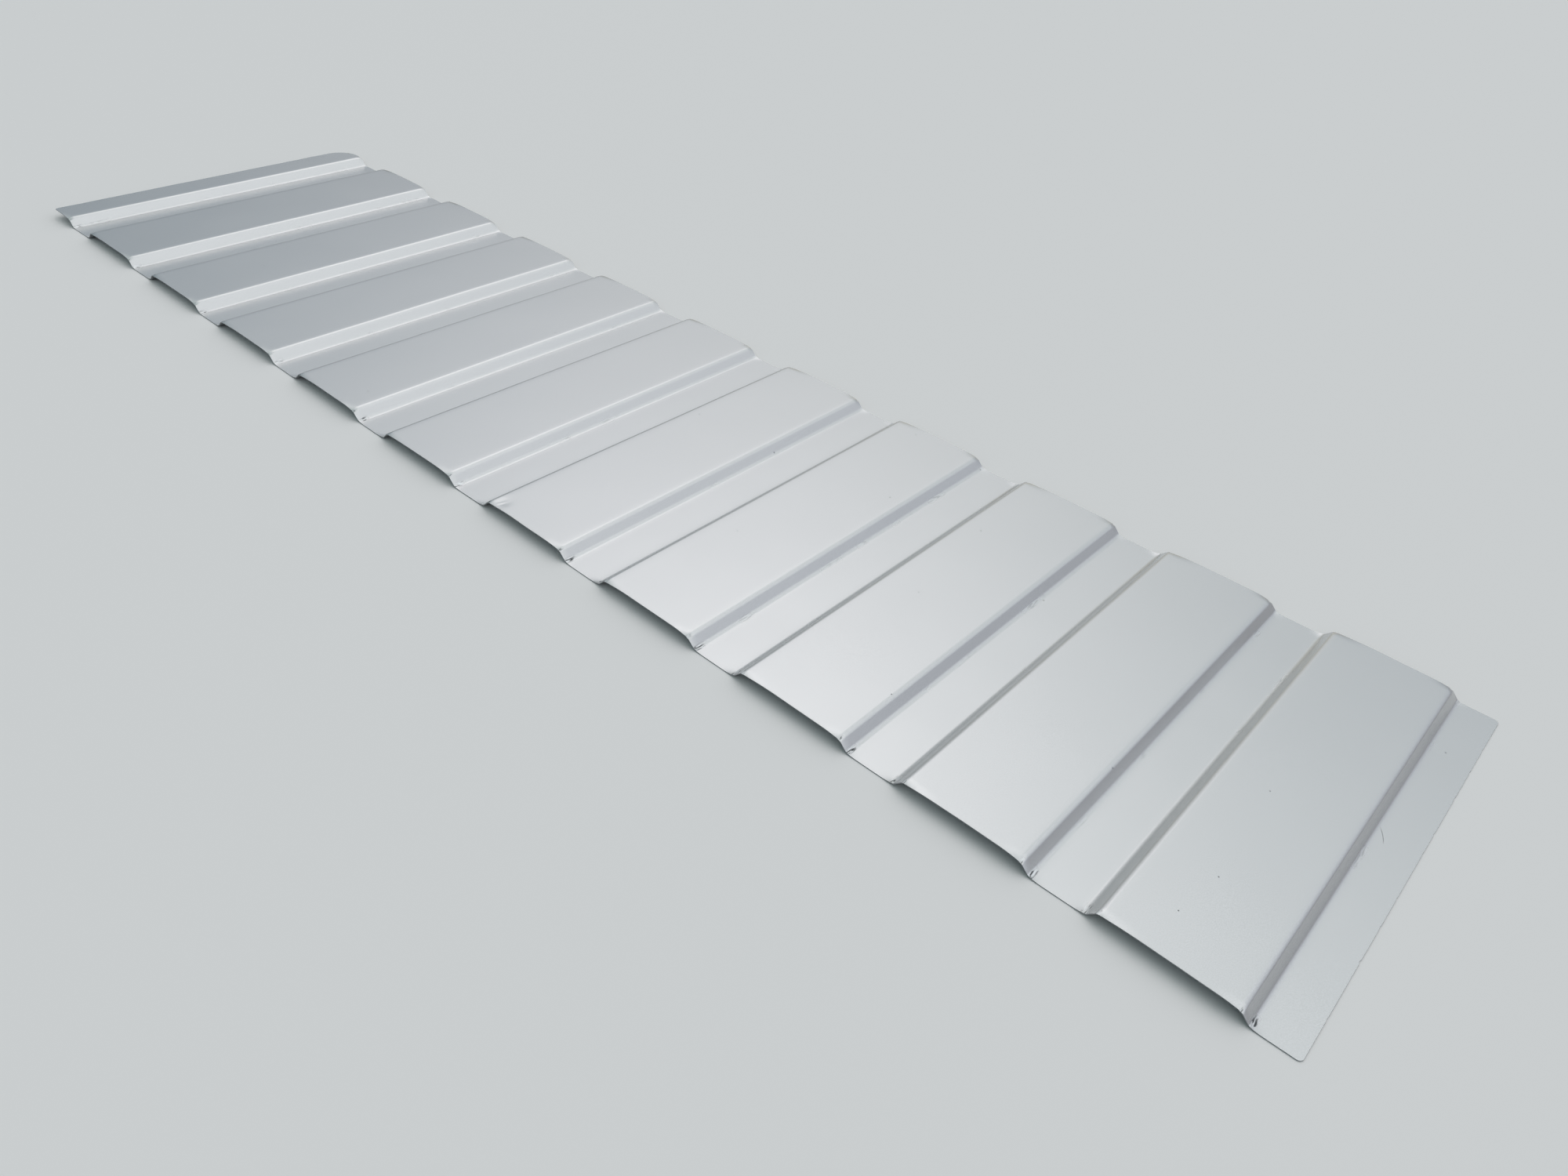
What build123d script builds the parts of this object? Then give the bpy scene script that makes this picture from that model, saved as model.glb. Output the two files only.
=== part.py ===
from build123d import *
import math
import os

# Profiled steel sheet: a low trapezoidal rib rolled into thin painted strip.
# All sizes are in millimetres. +X runs across the ribs, +Y along them and +Z up.
# The origin is on the floor, under the middle of the sheet's outline.

# What the sheet is cut to
SHEET_LENGTH = 303.0       # along the ribs, between the two sheared ends
FULL_CRESTS = 10           # crests that are whole
CORNER_RADIUS = 3.0        # three of the free corners, seen from above
WORN_CORNER_RADIUS = 25.0  # the corner at the left edge's far end

# The steel strip
STEEL_THICKNESS = 0.5

# The rolled section
PROFILE_HEIGHT = 8.0       # from the underside of a valley to the top of a crest
PITCH = 115.0              # from one crest to the next
CREST_WIDTH = 72.0         # between the two bend lines of a crest
WEB_RUN = 6.0              # sideways travel of a web on its way down
BEND_RADIUS = 4.0          # inside every bend
LEFT_CREST_STRIP = 29.5    # what is left of the crest at the left edge
RIGHT_VALLEY_STRIP = 24.0  # what is left of the valley at the right edge

# Worked out from the sizes above
HALF_THICKNESS = STEEL_THICKNESS / 2
CREST_Z = PROFILE_HEIGHT - HALF_THICKNESS
VALLEY_Z = HALF_THICKNESS
BEND_ANGLE = math.atan2(CREST_Z - VALLEY_Z, WEB_RUN)
MIDDLE_BEND_RADIUS = BEND_RADIUS + HALF_THICKNESS
BEND_SETBACK = MIDDLE_BEND_RADIUS * math.tan(BEND_ANGLE / 2)
SHEET_WIDTH = LEFT_CREST_STRIP + FULL_CRESTS * PITCH + WEB_RUN + RIGHT_VALLEY_STRIP


def bend_points():
    """Middle of the steel from the left edge to the right: its two ends and every bend point."""
    x = -SHEET_WIDTH / 2
    points = [Vector(x, CREST_Z)]
    x += LEFT_CREST_STRIP
    for _ in range(FULL_CRESTS):
        points.append(Vector(x, CREST_Z))
        points.append(Vector(x + WEB_RUN, VALLEY_Z))
        next_crest = x + PITCH - CREST_WIDTH
        points.append(Vector(next_crest - WEB_RUN, VALLEY_Z))
        points.append(Vector(next_crest, CREST_Z))
        x += PITCH
    points.append(Vector(x, CREST_Z))
    points.append(Vector(x + WEB_RUN, VALLEY_Z))
    points.append(Vector(x + WEB_RUN + RIGHT_VALLEY_STRIP, VALLEY_Z))
    return points


def middle_line(points):
    """Places on the middle of the steel, each with its upward normal.

    The two ends give one place each. Every bend gives three: where its arc starts, the middle of
    the arc, and where the arc ends.
    """
    first_run = (points[1] - points[0]).normalized()
    places = [(points[0], upward_normal(first_run))]
    for before, corner, after in zip(points, points[1:], points[2:]):
        run_in = (corner - before).normalized()
        run_out = (after - corner).normalized()
        inward = (run_out - run_in).normalized()
        centre = corner + inward * (MIDDLE_BEND_RADIUS / math.cos(BEND_ANGLE / 2))
        arc_middle = centre - inward * MIDDLE_BEND_RADIUS
        places.append((corner - run_in * BEND_SETBACK, upward_normal(run_in)))
        places.append((arc_middle, upward_normal((run_in + run_out).normalized())))
        places.append((corner + run_out * BEND_SETBACK, upward_normal(run_out)))
    last_run = (points[-1] - points[-2]).normalized()
    places.append((points[-1], upward_normal(last_run)))
    return places


def upward_normal(direction):
    """The direction turned a quarter turn to the left, which is up for steel that runs to the right."""
    return Vector(-direction.Y, direction.X)


def face_line(places, offset):
    """Flats and arcs of the steel's face that lies the offset above its middle."""
    line = [middle + normal * offset for middle, normal in places]
    edges = []
    for start in range(0, len(line) - 2, 3):
        edges.append(Line(line[start], line[start + 1]))
        edges.append(ThreePointArc(line[start + 1], line[start + 2], line[start + 3]))
    edges.append(Line(line[-2], line[-1]))
    return edges


def rounded_corner(sheet, side, end, radius):
    """The sheet with one free corner rounded; side and end count along X and along Y."""
    upright_edges = sheet.edges().filter_by(Axis.Z)
    corner = upright_edges.group_by(Axis.X)[side].sort_by(Axis.Y)[end]
    return fillet(corner, radius)


def rounded_corners(sheet):
    """The sheet with its four free corners rounded, each within the flat strip that it ends."""
    left, right = 0, -1
    near, far = 0, -1
    left_radius = min(CORNER_RADIUS, LEFT_CREST_STRIP - BEND_SETBACK)
    worn_radius = min(WORN_CORNER_RADIUS, LEFT_CREST_STRIP - BEND_SETBACK)
    right_radius = min(CORNER_RADIUS, RIGHT_VALLEY_STRIP - BEND_SETBACK)
    sheet = rounded_corner(sheet, left, near, left_radius)
    sheet = rounded_corner(sheet, left, far, worn_radius)
    sheet = rounded_corner(sheet, right, near, right_radius)
    return rounded_corner(sheet, right, far, right_radius)


def profiled_sheet():
    places = middle_line(bend_points())
    top = face_line(places, HALF_THICKNESS)
    underside = face_line(places, -HALF_THICKNESS)
    left_edge = Line(underside[0] @ 0, top[0] @ 0)
    right_edge = Line(top[-1] @ 1, underside[-1] @ 1)
    outline = Wire(top + [right_edge] + underside + [left_edge])
    section = Plane.XZ * make_face(outline.edges())
    return rounded_corners(extrude(section, amount=SHEET_LENGTH / 2, both=True))


os.makedirs("parts", exist_ok=True)
sheet = profiled_sheet()
export_step(sheet, "parts/profiled_sheet.step")
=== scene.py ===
import math
import random

import bmesh
import bpy
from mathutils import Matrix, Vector


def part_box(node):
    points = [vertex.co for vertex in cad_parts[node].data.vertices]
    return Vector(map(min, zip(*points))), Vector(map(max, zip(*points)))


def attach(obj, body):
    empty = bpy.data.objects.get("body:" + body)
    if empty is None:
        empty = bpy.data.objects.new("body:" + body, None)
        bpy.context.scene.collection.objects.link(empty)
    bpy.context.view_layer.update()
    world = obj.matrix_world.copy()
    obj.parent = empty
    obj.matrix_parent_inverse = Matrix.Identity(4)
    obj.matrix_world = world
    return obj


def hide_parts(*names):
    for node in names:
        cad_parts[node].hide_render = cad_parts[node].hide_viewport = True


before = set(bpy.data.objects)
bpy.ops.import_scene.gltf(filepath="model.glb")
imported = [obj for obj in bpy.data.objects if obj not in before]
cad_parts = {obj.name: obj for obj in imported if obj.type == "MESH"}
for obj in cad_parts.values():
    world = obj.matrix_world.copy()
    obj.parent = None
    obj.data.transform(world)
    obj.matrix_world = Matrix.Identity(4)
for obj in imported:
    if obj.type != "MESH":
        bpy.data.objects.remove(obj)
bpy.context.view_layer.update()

# A profiled sheet of thin painted steel, lying flat on a studio floor. Lengths are in metres.
# X runs across the ribs and Y along them, and the floor is at height 0.
MM = 0.001

SHEET_LOW, SHEET_HIGH = (Vector(corner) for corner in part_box("profiled_sheet"))
SHEET_LENGTH = SHEET_HIGH.y - SHEET_LOW.y
SHEET_TOP = SHEET_HIGH.z

# The rolled section
STEEL_THICKNESS = 0.5 * MM
PITCH = 115 * MM
CREST_WIDTH = 72 * MM
WEB_RUN = 6 * MM
INNER_BEND_RADIUS = 4 * MM
LEFT_CREST_STRIP = 29.5 * MM
RIGHT_VALLEY_STRIP = 24 * MM
FULL_CRESTS = 10

# The outline and its marks
CORNER_RADIUS = 3 * MM         # three of the free corners
WORN_CORNER_RADIUS = 25 * MM   # the corner at the left edge's far end
SHEARED_LIP = 6 * MM           # how far in from a sheared end the shear has bent the ribs
DENT = Vector((50.5 * MM, -145 * MM, 0))   # beside the sixth full crest's near left corner
DENT_REACH = 9 * MM
NICKS = 14                     # in the right edge

SAME_PLACE = 0.1 * MM          # two places closer than this count as one

# Worked out from the section
RISE = SHEET_TOP - STEEL_THICKNESS
VALLEY_TOP = STEEL_THICKNESS
BEND_ANGLE = math.atan2(RISE, WEB_RUN)
HALF_BEND = math.tan(BEND_ANGLE / 2)
FACE_SHIFT = STEEL_THICKNESS / 2 * HALF_BEND
VALLEY_WIDTH = PITCH - CREST_WIDTH - 2 * WEB_RUN
FIRST_CREST_RIGHT = SHEET_LOW.x + LEFT_CREST_STRIP


def crest_right(number):
    """Where the crest of that number ends and its web starts down. Crest 0 is the strip at the left."""
    return FIRST_CREST_RIGHT + number * PITCH


# Selecting and editing


def edit(piece):
    """Opens the piece alone in edit mode, with nothing in it selected."""
    bpy.ops.object.select_all(action="DESELECT")
    bpy.context.view_layer.objects.active = piece
    piece.select_set(True)
    bpy.ops.object.mode_set(mode="EDIT")
    bpy.ops.mesh.select_mode(type="EDGE")
    bpy.ops.mesh.select_all(action="DESELECT")


def close_edit():
    bpy.ops.object.mode_set(mode="OBJECT")


def pick_edges(piece, wanted):
    """Selects the edges that the test wants, and no others. It expects the piece in edit mode."""
    bpy.ops.mesh.select_all(action="DESELECT")
    mesh = bmesh.from_edit_mesh(piece.data)
    for edge in mesh.edges:
        edge.select_set(wanted(edge))
    bmesh.update_edit_mesh(piece.data)


def middle(edge):
    return (edge.verts[0].co + edge.verts[1].co) / 2


def along_ribs(edge):
    run = edge.verts[1].co - edge.verts[0].co
    return abs(run.y) > 0.999 * run.length


def is_bend(edge):
    return len(edge.link_faces) == 2 and edge.calc_face_angle(0) > BEND_ANGLE / 2


# The sheet


def roll_section(sheet):
    """Extrudes the strip's right edge from bend line to bend line until the whole section is there."""
    crest_flat = CREST_WIDTH + 2 * FACE_SHIFT
    valley_flat = VALLEY_WIDTH - 2 * FACE_SHIFT
    rib = [(WEB_RUN, -RISE), (valley_flat, 0), (WEB_RUN, RISE), (crest_flat, 0)]
    last_valley = RIGHT_VALLEY_STRIP - FACE_SHIFT
    right_edge_x = FIRST_CREST_RIGHT + FACE_SHIFT
    pick_edges(sheet, lambda edge: along_ribs(edge) and abs(middle(edge).x - right_edge_x) < SAME_PLACE)
    for run, climb in rib * FULL_CRESTS + [(WEB_RUN, -RISE), (last_valley, 0)]:
        bpy.ops.mesh.extrude_region_move(TRANSFORM_OT_translate={"value": (run, 0, climb)})


def round_bends(sheet):
    """Rounds the painted face's bends: the crests' to the outer radius, the valleys' to the inner."""
    outer_radius = INNER_BEND_RADIUS + STEEL_THICKNESS
    for height, radius in ((SHEET_TOP, outer_radius), (VALLEY_TOP, INNER_BEND_RADIUS)):
        pick_edges(sheet, lambda edge: is_bend(edge) and abs(middle(edge).z - height) < SAME_PLACE)
        bpy.ops.mesh.bevel(offset_type="OFFSET", offset=radius * HALF_BEND, segments=8, profile=0.5)


def divide(sheet):
    """Cuts the sheet into columns across the flats and rows along the ribs, closest at the two ends."""
    crest_columns, valley_columns = 18, 8
    for shortest, columns in ((60 * MM, crest_columns), (18 * MM, valley_columns)):
        pick_edges(sheet, lambda edge: not along_ribs(edge) and edge.calc_length() > shortest)
        bpy.ops.mesh.subdivide(number_cuts=columns - 1)
    for end in (SHEET_LOW.y + SHEARED_LIP, SHEET_HIGH.y - SHEARED_LIP):
        bpy.ops.mesh.select_all(action="SELECT")
        bpy.ops.mesh.bisect(plane_co=(0, end, 0), plane_no=(0, 1, 0))
    lip_rows, body_rows = 8, 32
    pick_edges(sheet, lambda edge: along_ribs(edge) and edge.calc_length() < 2 * SHEARED_LIP)
    bpy.ops.mesh.subdivide(number_cuts=lip_rows - 1)
    pick_edges(sheet, lambda edge: along_ribs(edge) and edge.calc_length() > 2 * SHEARED_LIP)
    bpy.ops.mesh.subdivide(number_cuts=body_rows - 1)


def divide_for_marks(sheet):
    """Cuts smaller faces round the dent, and shorter edges along the side that has nicks."""
    for reach in (14 * MM, DENT_REACH):
        pick_edges(sheet, lambda edge: (middle(edge).xy - DENT.xy).length < reach)
        bpy.ops.mesh.subdivide(number_cuts=1)
    pick_edges(sheet, lambda edge: along_ribs(edge) and middle(edge).x > SHEET_HIGH.x - SAME_PLACE)
    bpy.ops.mesh.subdivide(number_cuts=4)


def cut_corner(corner, inward, radius, facets):
    """Bisects the sheet with planes that touch the corner's arc one after another."""
    centre = Vector((corner[0] + inward[0] * radius, corner[1] + inward[1] * radius, 0))
    for facet in range(facets):
        turn = math.pi / 2 * (facet + 0.5) / facets
        outward = Vector((-inward[0] * math.cos(turn), -inward[1] * math.sin(turn), 0))
        bpy.ops.mesh.select_all(action="SELECT")
        bpy.ops.mesh.bisect(plane_co=centre + outward * radius, plane_no=outward, clear_outer=True)


def round_corners():
    cut_corner((SHEET_LOW.x, SHEET_LOW.y), (1, 1), CORNER_RADIUS, facets=4)
    cut_corner((SHEET_LOW.x, SHEET_HIGH.y), (1, -1), WORN_CORNER_RADIUS, facets=12)
    cut_corner((SHEET_HIGH.x, SHEET_LOW.y), (-1, 1), CORNER_RADIUS, facets=4)
    cut_corner((SHEET_HIGH.x, SHEET_HIGH.y), (-1, -1), CORNER_RADIUS, facets=4)


def weigh(sheet, name, weight_at):
    """A vertex group in which the place of each vertex gives its weight."""
    group = sheet.vertex_groups.new(name=name)
    for vertex in sheet.data.vertices:
        weight = weight_at(vertex.co)
        if weight > 0:
            group.add([vertex.index], weight, "REPLACE")
    return group.name


def push_weighed(sheet, name, weight_at, axis, strength, hills=0):
    """Pushes the weighed places along an axis, evenly or by smooth random hills of that length."""
    push = sheet.modifiers.new(name, "DISPLACE")
    push.direction = axis
    push.strength = strength
    push.mid_level = 0
    push.vertex_group = weigh(sheet, name, weight_at)
    if hills:
        push.texture = bpy.data.textures.new(name, type="CLOUDS")
        push.texture.noise_scale = hills
        push.texture.noise_depth = 1
        push.texture_coords = "LOCAL"
    bpy.ops.object.modifier_apply(modifier=push.name)


def near(offset, before, after):
    """1 at no offset, easing to 0 at the reach before it and at the reach after it."""
    share = min(abs(offset) / (after if offset > 0 else before), 1)
    return (1 - share) ** 2


def press_ends(sheet):
    """The shear bends the ribs a little where it cuts: their shoulders drop and their feet lift."""
    chance = random.Random(7)
    force = {}   # how hard the shear presses at each end of each crest
    for end in (-1, 1):
        for crest in range(FULL_CRESTS + 1):
            force[end, crest] = chance.uniform(0.7, 1)

    def shoulders_and_feet(place):
        """How hard the shear presses here on the crest's shoulders, and how hard on its feet."""
        end = -1 if place.y < 0 else 1
        crest = math.ceil((place.x - FIRST_CREST_RIGHT - PITCH / 2 + CREST_WIDTH / 2) / PITCH)
        crest = min(max(crest, 0), FULL_CRESTS)
        right = place.x - crest_right(crest)
        left = right + CREST_WIDTH if crest > 0 else PITCH
        cut = near(SHEET_HIGH.y - abs(place.y), SHEARED_LIP, SHEARED_LIP) * force[end, crest]
        right_shoulder = 0.75 * near(right, 14 * MM, 6 * MM)
        left_shoulder = 0.6 * near(left - 1 * MM, 6 * MM, 24 * MM)
        right_foot = 0.45 * near(right - 7 * MM, 4 * MM, 5 * MM)
        left_foot = 0.8 * near(left + 7 * MM, 7 * MM, 5 * MM)
        return cut * max(right_shoulder, left_shoulder), cut * max(right_foot, left_foot)

    shoulder_drop, foot_lift = -2.2 * MM, 1.3 * MM
    push_weighed(sheet, "shoulders", lambda place: shoulders_and_feet(place)[0], "Z", shoulder_drop)
    push_weighed(sheet, "feet", lambda place: shoulders_and_feet(place)[1], "Z", foot_lift)


def give_handling_marks(sheet):
    """The slight unevenness of a thin sheet: waves in its flats, and edges not quite straight."""
    edge_reach, cut_reach, cut_hills = 6 * MM, 8 * MM, 35 * MM

    def crest(place):
        """1 on the crests, 0 in the valleys and between them on a web."""
        return min(max((place.z - VALLEY_TOP) / RISE, 0), 1)

    def valley(place):
        return 1 - crest(place)

    def left_edge(place):
        return near(place.x - SHEET_LOW.x, edge_reach, edge_reach)

    def near_cut(place):
        return near(place.y - SHEET_LOW.y, cut_reach, cut_reach)

    def far_cut(place):
        return near(place.y - SHEET_HIGH.y, cut_reach, cut_reach)

    push_weighed(sheet, "crest_waves", crest, "Z", -0.3 * MM, hills=90 * MM)
    push_weighed(sheet, "valley_waves", valley, "Z", 0.25 * MM, hills=60 * MM)
    push_weighed(sheet, "left_edge_ripple", left_edge, "X", 1.4 * MM, hills=18 * MM)
    push_weighed(sheet, "near_cut_waves", near_cut, "Y", 0.6 * MM, hills=cut_hills)
    push_weighed(sheet, "far_cut_waves", far_cut, "Y", -0.6 * MM, hills=cut_hills)


def dent_and_nick(sheet):
    """A knock beside one crest's near corner, with a crease through it, and nicks in the right edge."""
    chance = random.Random(4)
    nicks = [(chance.uniform(-0.14, 0.14), chance.uniform(0.4, 1)) for _ in range(NICKS)]

    def dent(place):
        return near((place.xy - DENT.xy).length, 1, DENT_REACH)

    def crease(place):
        """High along a line that leaves the near cut at a slant."""
        slant, half_width = 0.35, 1.6 * MM
        along = place.y - DENT.y
        across = place.x - DENT.x - slant * along
        return near(across, half_width, half_width) * near(along, 7 * MM, 6 * MM)

    def nick(place):
        """How deep the edge is worn here: a little all along, which keeps it in the CAD box."""
        half_length, reach_inward, worn_all_along = 3 * MM, 1 * MM, 0.1
        depths = [force * near(place.y - at, half_length, half_length) for at, force in nicks]
        return max([worn_all_along] + depths) * near(place.x - SHEET_HIGH.x, reach_inward, reach_inward)

    push_weighed(sheet, "dent", dent, "Z", -0.6 * MM)
    push_weighed(sheet, "crease", crease, "Z", 0.6 * MM)
    push_weighed(sheet, "nicks", nick, "X", -0.5 * MM)


def finish_sheet(sheet):
    """Gives the painted face its steel behind it, and the sheared edges a hair of a break."""
    steel = sheet.modifiers.new("steel", "SOLIDIFY")
    steel.thickness = STEEL_THICKNESS
    steel.offset = -1
    steel.use_even_offset = True
    steel.material_offset = 1
    steel.material_offset_rim = 2
    bpy.ops.object.modifier_apply(modifier=steel.name)
    arris = sheet.modifiers.new("sheared_arris", "BEVEL")
    arris.width = 0.07 * MM
    arris.segments = 1
    arris.limit_method = "ANGLE"
    arris.angle_limit = math.radians(60)
    bpy.ops.object.modifier_apply(modifier=arris.name)
    bpy.ops.object.shade_smooth_by_angle(angle=math.radians(40))


def make_sheet():
    strip_width = LEFT_CREST_STRIP + FACE_SHIFT
    bpy.ops.object.select_all(action="DESELECT")
    bpy.ops.mesh.primitive_plane_add(size=1, location=(SHEET_LOW.x + strip_width / 2, 0, SHEET_TOP))
    sheet = bpy.context.object
    sheet.name = "painted_sheet"
    bpy.ops.transform.resize(value=(strip_width, SHEET_LENGTH, 1))
    bpy.ops.object.transform_apply()
    edit(sheet)
    roll_section(sheet)
    round_bends(sheet)
    divide(sheet)
    divide_for_marks(sheet)
    round_corners()
    close_edit()
    press_ends(sheet)
    give_handling_marks(sheet)
    dent_and_nick(sheet)
    for finish in (silver_polyester_coil_coat(), epoxy_back_coat(), sheared_galvanised_edge()):
        sheet.data.materials.append(finish)
    finish_sheet(sheet)
    return sheet


# Materials


def srgb(code):
    """A colour written as sRGB hex, turned to the linear values that the shader takes."""
    parts = [int(code[place:place + 2], 16) / 255 for place in (1, 3, 5)]
    linear = [part / 12.92 if part <= 0.04045 else ((part + 0.055) / 1.055) ** 2.4 for part in parts]
    return (*linear, 1)


def new_material(name):
    material = bpy.data.materials.new(name)
    material.use_nodes = True
    material.node_tree.nodes.clear()
    return material


def add(tree, kind, settings=None, **links):
    """Adds a node. A link or a value goes to the input of its name, with _ for a blank."""
    node = tree.nodes.new(kind)
    for setting, value in (settings or {}).items():
        setattr(node, setting, value)
    for name, value in links.items():
        key = int(name[1:]) if name[0] == "i" and name[1:].isdigit() else name.replace("_", " ")
        if isinstance(value, bpy.types.NodeSocket):
            tree.links.new(value, node.inputs[key])
        else:
            node.inputs[key].default_value = value
    return node


def streaks(tree, place):
    """Short fibres of noise that run along the ribs, about 0.8 mm apart.

    Real cracks in paint are finer. These are drawn this coarse so that they show.
    """
    along = add(tree, "ShaderNodeMapping", Vector=place, Scale=(1.0, 0.15, 1.0))
    fibre = add(
        tree, "ShaderNodeTexNoise", Vector=along.outputs["Vector"], Scale=1 / (0.8 * MM), Detail=1.0,
    )
    return fibre.outputs["Fac"]


def bend_lines(tree, from_valley_middle, bend, half_width):
    """1 on the bends that lie that far from the middle of every valley, and 0 away from them."""
    beside = add(tree, "ShaderNodeMath", {"operation": "SUBTRACT"}, i0=from_valley_middle, i1=bend)
    distance = add(tree, "ShaderNodeMath", {"operation": "ABSOLUTE"}, i0=beside.outputs["Value"])
    return add(
        tree, "ShaderNodeMapRange", Value=distance.outputs["Value"],
        From_Min=half_width, From_Max=half_width / 2,
    ).outputs["Result"]


def crazed_bends(tree, place, parts):
    """Where the paint has cracked in the bends.

    The feet of the ribs are crazed at the near cut and in patches further in, and their shoulders
    only at the cut. Both sides of a rib lie equally far from the middle of a valley, so the place
    across the sheet is folded about it.
    """
    valley_middle = FIRST_CREST_RIGHT + (PITCH - CREST_WIDTH) / 2
    shoulder = (PITCH - CREST_WIDTH) / 2
    from_first = add(tree, "ShaderNodeMath", {"operation": "SUBTRACT"}, i0=parts["X"], i1=valley_middle)
    folded = add(
        tree, "ShaderNodeMath", {"operation": "PINGPONG"}, i0=from_first.outputs["Value"], i1=PITCH / 2,
    ).outputs["Value"]
    feet = bend_lines(tree, folded, shoulder - WEB_RUN - 0.5 * MM, 1.8 * MM)
    shoulders = bend_lines(tree, folded, shoulder, 1.0 * MM)

    from_cut = add(tree, "ShaderNodeMath", {"operation": "ADD"}, i0=parts["Y"], i1=SHEET_LENGTH / 2)
    at_cut = add(
        tree, "ShaderNodeMapRange", Value=from_cut.outputs["Value"], From_Min=9 * MM, From_Max=5 * MM,
    )
    patch = add(tree, "ShaderNodeTexNoise", Vector=place, Scale=1 / (28 * MM), Detail=2.0)
    patches = add(
        tree, "ShaderNodeMapRange", Value=patch.outputs["Fac"],
        From_Min=0.56, From_Max=0.72, To_Max=0.25,
    )
    where = add(
        tree, "ShaderNodeMath", {"operation": "MAXIMUM"},
        i0=at_cut.outputs["Result"], i1=patches.outputs["Result"],
    )
    crazed_feet = add(
        tree, "ShaderNodeMath", {"operation": "MULTIPLY"}, i0=where.outputs["Value"], i1=feet,
    )
    at_edge = add(
        tree, "ShaderNodeMapRange", Value=from_cut.outputs["Value"],
        From_Min=4 * MM, From_Max=2 * MM, To_Max=0.7,
    )
    return add(
        tree, "ShaderNodeMath", {"operation": "MULTIPLY_ADD"},
        i0=at_edge.outputs["Result"], i1=shoulders, i2=crazed_feet.outputs["Value"],
    ).outputs["Value"]


def scratch(tree, parts):
    """One fine curved scratch across the last valley strip, 13 mm long."""
    bow_centre, radius = (557.6 * MM, -5.7 * MM, 0), 30.4 * MM
    scratch_middle, half_length = (584.9 * MM, 7.6 * MM, 0), 6.4 * MM
    flat = add(tree, "ShaderNodeCombineXYZ", X=parts["X"], Y=parts["Y"]).outputs["Vector"]
    reach = add(tree, "ShaderNodeVectorMath", {"operation": "DISTANCE"}, i0=flat, i1=bow_centre)
    beside = add(tree, "ShaderNodeMath", {"operation": "SUBTRACT"}, i0=reach.outputs["Value"], i1=radius)
    off_line = add(tree, "ShaderNodeMath", {"operation": "ABSOLUTE"}, i0=beside.outputs["Value"])
    line = add(
        tree, "ShaderNodeMapRange", Value=off_line.outputs["Value"],
        From_Min=0.36 * MM, From_Max=0.1 * MM,
    )
    away = add(tree, "ShaderNodeVectorMath", {"operation": "DISTANCE"}, i0=flat, i1=scratch_middle)
    length = add(
        tree, "ShaderNodeMapRange", Value=away.outputs["Value"],
        From_Min=half_length, From_Max=half_length / 2,
    )
    return add(
        tree, "ShaderNodeMath", {"operation": "MULTIPLY"},
        i0=line.outputs["Result"], i1=length.outputs["Result"],
    ).outputs["Value"]


def specks(tree, place):
    """Grit caught in the paint: dots up to a millimetre across, in about a third of the 60 mm cells."""
    cell = 60 * MM
    dots = add(
        tree, "ShaderNodeTexVoronoi", {"voronoi_dimensions": "2D"}, Vector=place, Scale=1 / cell,
    )
    dot = add(
        tree, "ShaderNodeMapRange", Value=dots.outputs["Distance"], From_Min=0.009, From_Max=0.004,
    )
    chosen = add(tree, "ShaderNodeSeparateColor", Color=dots.outputs["Color"])
    kept = add(tree, "ShaderNodeMath", {"operation": "GREATER_THAN"}, i0=chosen.outputs["Red"], i1=0.65)
    return add(
        tree, "ShaderNodeMath", {"operation": "MULTIPLY"},
        i0=dot.outputs["Result"], i1=kept.outputs["Value"],
    ).outputs["Value"]


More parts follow.
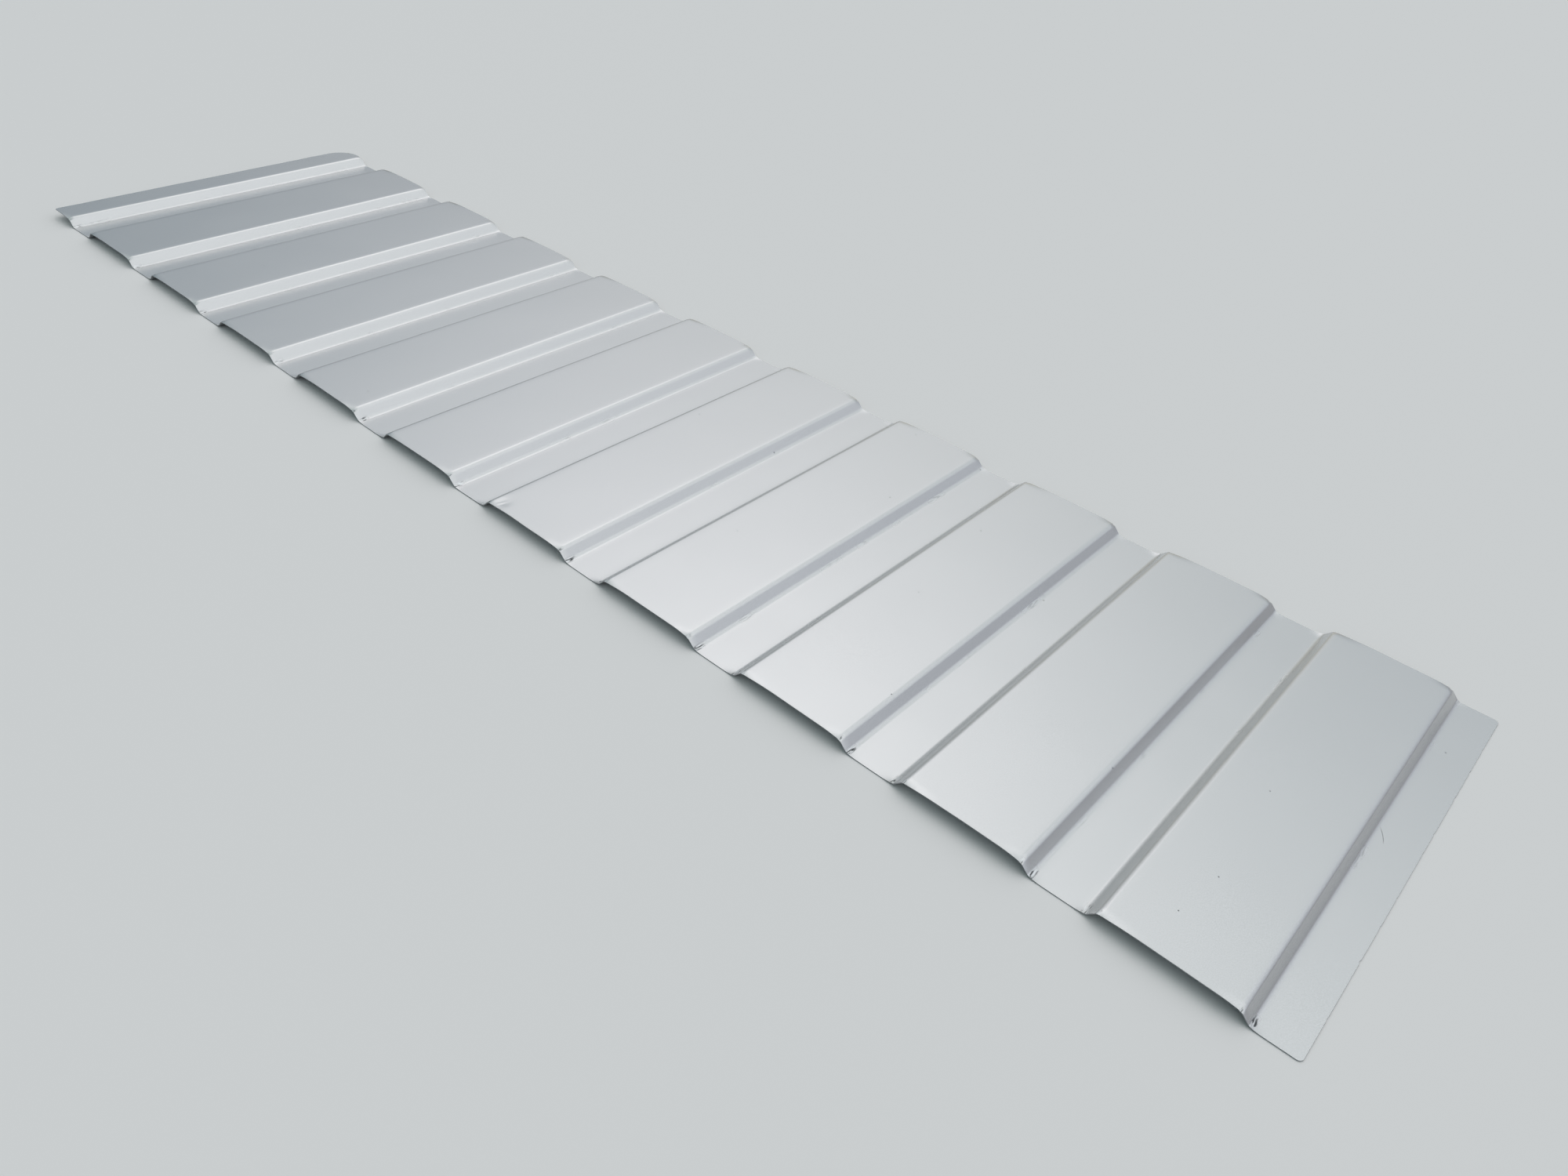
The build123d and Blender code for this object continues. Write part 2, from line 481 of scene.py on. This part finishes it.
def silver_polyester_coil_coat():
    """Silver polyester paint, roller-coated on the flat coil and then bent with it.

    Fine aluminium flake lies in a satin binder: a soft metallic sheen, a faint grain, a little
    orange peel, and reflections with blurred edges. Where the bends are tightest the film has
    crazed into short light and dark streaks. Real flake is far finer than the 0.6 mm grain here,
    which is drawn coarse enough to show.
    """
    material = new_material("silver_polyester_coil_coat")
    tree = material.node_tree
    place = add(tree, "ShaderNodeTexCoord").outputs["Object"]
    parts = add(tree, "ShaderNodeSeparateXYZ", Vector=place).outputs
    flake = add(tree, "ShaderNodeTexNoise", Vector=place, Scale=1 / (0.6 * MM), Detail=2.0)
    peel = add(tree, "ShaderNodeTexNoise", Vector=place, Scale=1 / (2.5 * MM), Detail=1.0)
    cloud = add(tree, "ShaderNodeTexNoise", Vector=place, Scale=1 / (70 * MM), Detail=2.0)
    flake_tone = add(
        tree, "ShaderNodeMapRange", Value=flake.outputs["Fac"], From_Min=0.3, From_Max=0.7,
    )
    tone = add(
        tree, "ShaderNodeMix", {"data_type": "RGBA"},
        i0=flake_tone.outputs["Result"], i6=srgb("#CBCCCC"), i7=srgb("#D4D5D5"),
    )
    fibre = streaks(tree, place)
    crazed = crazed_bends(tree, place, parts)
    cracks = add(tree, "ShaderNodeMapRange", Value=fibre, From_Min=0.55, From_Max=0.59)
    flakes_off = add(tree, "ShaderNodeMapRange", Value=fibre, From_Min=0.43, From_Max=0.39)
    dark_streaks = add(
        tree, "ShaderNodeMath", {"operation": "MULTIPLY"}, i0=cracks.outputs["Result"], i1=crazed,
    )
    light_streaks = add(
        tree, "ShaderNodeMath", {"operation": "MULTIPLY"}, i0=flakes_off.outputs["Result"], i1=crazed,
    )
    bare = add(
        tree, "ShaderNodeMix", {"data_type": "RGBA"},
        i0=light_streaks.outputs["Value"], i6=tone.outputs[2], i7=srgb("#E8EAEB"),
    )
    cracked = add(
        tree, "ShaderNodeMix", {"data_type": "RGBA"},
        i0=dark_streaks.outputs["Value"], i6=bare.outputs[2], i7=srgb("#4C4E50"),
    )
    scratched = add(
        tree, "ShaderNodeMix", {"data_type": "RGBA"},
        i0=scratch(tree, parts), i6=cracked.outputs[2], i7=srgb("#A0A1A1"),
    )
    specked = add(
        tree, "ShaderNodeMix", {"data_type": "RGBA"},
        i0=specks(tree, place), i6=scratched.outputs[2], i7=srgb("#6E6F70"),
    )
    # Under 0.27 all over the flats, because faint rings can show in a denoised render where roughness
    # crosses it
    gloss = add(
        tree, "ShaderNodeMapRange", Value=cloud.outputs["Fac"],
        From_Min=0.3, From_Max=0.7, To_Min=0.23, To_Max=0.265,
    )
    rough = add(
        tree, "ShaderNodeMath", {"operation": "MULTIPLY_ADD"},
        i0=crazed, i1=0.2, i2=gloss.outputs["Result"],
    )
    grain = add(tree, "ShaderNodeBump", Strength=0.05, Distance=0.02 * MM, Height=flake.outputs["Fac"])
    skin = add(
        tree, "ShaderNodeBump", Strength=0.15, Distance=0.05 * MM,
        Height=peel.outputs["Fac"], Normal=grain.outputs["Normal"],
    )
    paint = add(
        tree, "ShaderNodeBsdfPrincipled",
        Base_Color=specked.outputs[2], Metallic=0.8, Roughness=rough.outputs["Value"],
        Coat_Weight=0.15, Coat_Roughness=0.2, Normal=skin.outputs["Normal"],
    )
    add(tree, "ShaderNodeOutputMaterial", Surface=paint.outputs["BSDF"])
    return material


def epoxy_back_coat():
    """Grey epoxy back coat, a thin matt film: even, with almost no shine."""
    material = new_material("epoxy_back_coat")
    tree = material.node_tree
    place = add(tree, "ShaderNodeTexCoord").outputs["Object"]
    mottle = add(tree, "ShaderNodeTexNoise", Vector=place, Scale=1 / (12 * MM), Detail=4.0)
    tone = add(
        tree, "ShaderNodeMix", {"data_type": "RGBA"},
        i0=mottle.outputs["Fac"], i6=srgb("#8F9192"), i7=srgb("#A2A4A4"),
    )
    skin = add(tree, "ShaderNodeBump", Strength=0.15, Distance=0.05 * MM, Height=mottle.outputs["Fac"])
    film = add(
        tree, "ShaderNodeBsdfPrincipled",
        Base_Color=tone.outputs[2], Roughness=0.6, Normal=skin.outputs["Normal"],
    )
    add(tree, "ShaderNodeOutputMaterial", Surface=film.outputs["BSDF"])
    return material


def sheared_galvanised_edge():
    """Steel and its zinc, cut through by the shear: bare, dull bright metal with upright drag lines."""
    material = new_material("sheared_galvanised_edge")
    tree = material.node_tree
    place = add(tree, "ShaderNodeTexCoord").outputs["Object"]
    stretched = add(tree, "ShaderNodeMapping", Vector=place, Scale=(1.0, 1.0, 0.1))
    drag = add(
        tree, "ShaderNodeTexNoise", Vector=stretched.outputs["Vector"], Scale=1 / (0.3 * MM), Detail=3.0,
    )
    tone = add(
        tree, "ShaderNodeMix", {"data_type": "RGBA"},
        i0=drag.outputs["Fac"], i6=srgb("#7E8082"), i7=srgb("#B4B6B8"),
    )
    skin = add(tree, "ShaderNodeBump", Strength=0.3, Distance=0.03 * MM, Height=drag.outputs["Fac"])
    metal = add(
        tree, "ShaderNodeBsdfPrincipled",
        Base_Color=tone.outputs[2], Metallic=1.0, Roughness=0.45, Normal=skin.outputs["Normal"],
    )
    add(tree, "ShaderNodeOutputMaterial", Surface=metal.outputs["BSDF"])
    return material


def matt_pale_floor():
    """Painted studio floor, dead matt and pale."""
    material = new_material("matt_pale_floor")
    tree = material.node_tree
    coat = add(tree, "ShaderNodeBsdfPrincipled", Base_Color=srgb("#F2EEEC"), Roughness=0.9)
    add(tree, "ShaderNodeOutputMaterial", Surface=coat.outputs["BSDF"])
    return material


# The studio


def make_floor():
    bpy.ops.object.select_all(action="DESELECT")
    far_enough_for_a_horizon = 60
    bpy.ops.mesh.primitive_plane_add(size=far_enough_for_a_horizon, location=(0, 0, 0))
    floor = bpy.context.object
    floor.name = "studio_floor"
    bpy.ops.object.transform_apply()
    floor.data.materials.append(matt_pale_floor())


def glow(tree, direction, bearing, climb, focus, colour):
    """A soft round patch of light in the dome, centred on a bearing from +X and a height in degrees."""
    bearing, climb = math.radians(bearing), math.radians(climb)
    centre = (math.cos(bearing) * math.cos(climb), math.sin(bearing) * math.cos(climb), math.sin(climb))
    facing = add(tree, "ShaderNodeVectorMath", {"operation": "DOT_PRODUCT"}, i0=direction, i1=centre)
    spread = add(
        tree, "ShaderNodeMath", {"operation": "MULTIPLY_ADD"},
        i0=facing.outputs["Value"], i1=focus, i2=-focus,
    )
    level = add(tree, "ShaderNodeMath", {"operation": "EXPONENT"}, i0=spread.outputs["Value"])
    return add(
        tree, "ShaderNodeVectorMath", {"operation": "SCALE"}, i0=colour, Scale=level.outputs["Value"],
    ).outputs["Vector"]


def soft_dome():
    """A tent of light over the floor, dim low down, with three glows.

    One glow is broad and high on the right, one is smaller and behind the sheet, and one is faint
    and low behind it. The levels were matched to the photograph's tones.
    """
    world = bpy.data.worlds.new("soft_dome")
    bpy.context.scene.world = world
    world.use_nodes = True
    tree = world.node_tree
    tree.nodes.clear()
    direction = add(tree, "ShaderNodeTexCoord").outputs["Generated"]
    height = add(tree, "ShaderNodeSeparateXYZ", Vector=direction).outputs["Z"]
    tent = add(tree, "ShaderNodeValToRGB", Fac=height)
    # Light of the tent's wall at the sine of each height above the floor
    stops = ((0.0, (0.07, 0.07, 0.07, 1)), (0.35, (0.18, 0.25, 0.30, 1)), (0.75, (0.20, 0.31, 0.30, 1)))
    points = tent.color_ramp.elements
    points.new(0.5)
    for point, (sine, level) in zip(points, stops):
        point.position = sine
        point.color = level
    glows = (
        glow(tree, direction, bearing=38, climb=57, focus=3.5, colour=(0.96, 0.88, 0.92)),
        glow(tree, direction, bearing=137, climb=48, focus=12, colour=(1.08, 0.98, 1.01)),
        glow(tree, direction, bearing=117, climb=4, focus=12, colour=(0.43, 0.40, 0.31)),
    )
    whole = tent.outputs["Color"]
    for patch in glows:
        lit = add(tree, "ShaderNodeVectorMath", {"operation": "ADD"}, i0=whole, i1=patch)
        whole = lit.outputs["Vector"]
    light = add(tree, "ShaderNodeBackground", Color=whole, Strength=1.0)
    add(tree, "ShaderNodeOutputWorld", Surface=light.outputs["Background"])


def make_camera():
    """The photograph's own viewpoint, solved from the bend lines and the sheared ends."""
    data = bpy.data.cameras.new("camera")
    data.sensor_width = 36
    data.lens = 26.906
    data.clip_start = 0.01
    camera = bpy.data.objects.new("camera", data)
    bpy.context.collection.objects.link(camera)
    camera.location = (0.5912, -0.5284, 0.4507)
    camera.rotation_euler = [math.radians(turn) for turn in (52.229, -4.742, 41.629)]
    bpy.context.scene.camera = camera


make_camera()
make_floor()
soft_dome()

painted_sheet = make_sheet()
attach(painted_sheet, "root")
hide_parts("profiled_sheet")

bpy.context.scene.view_settings.view_transform = "Standard"
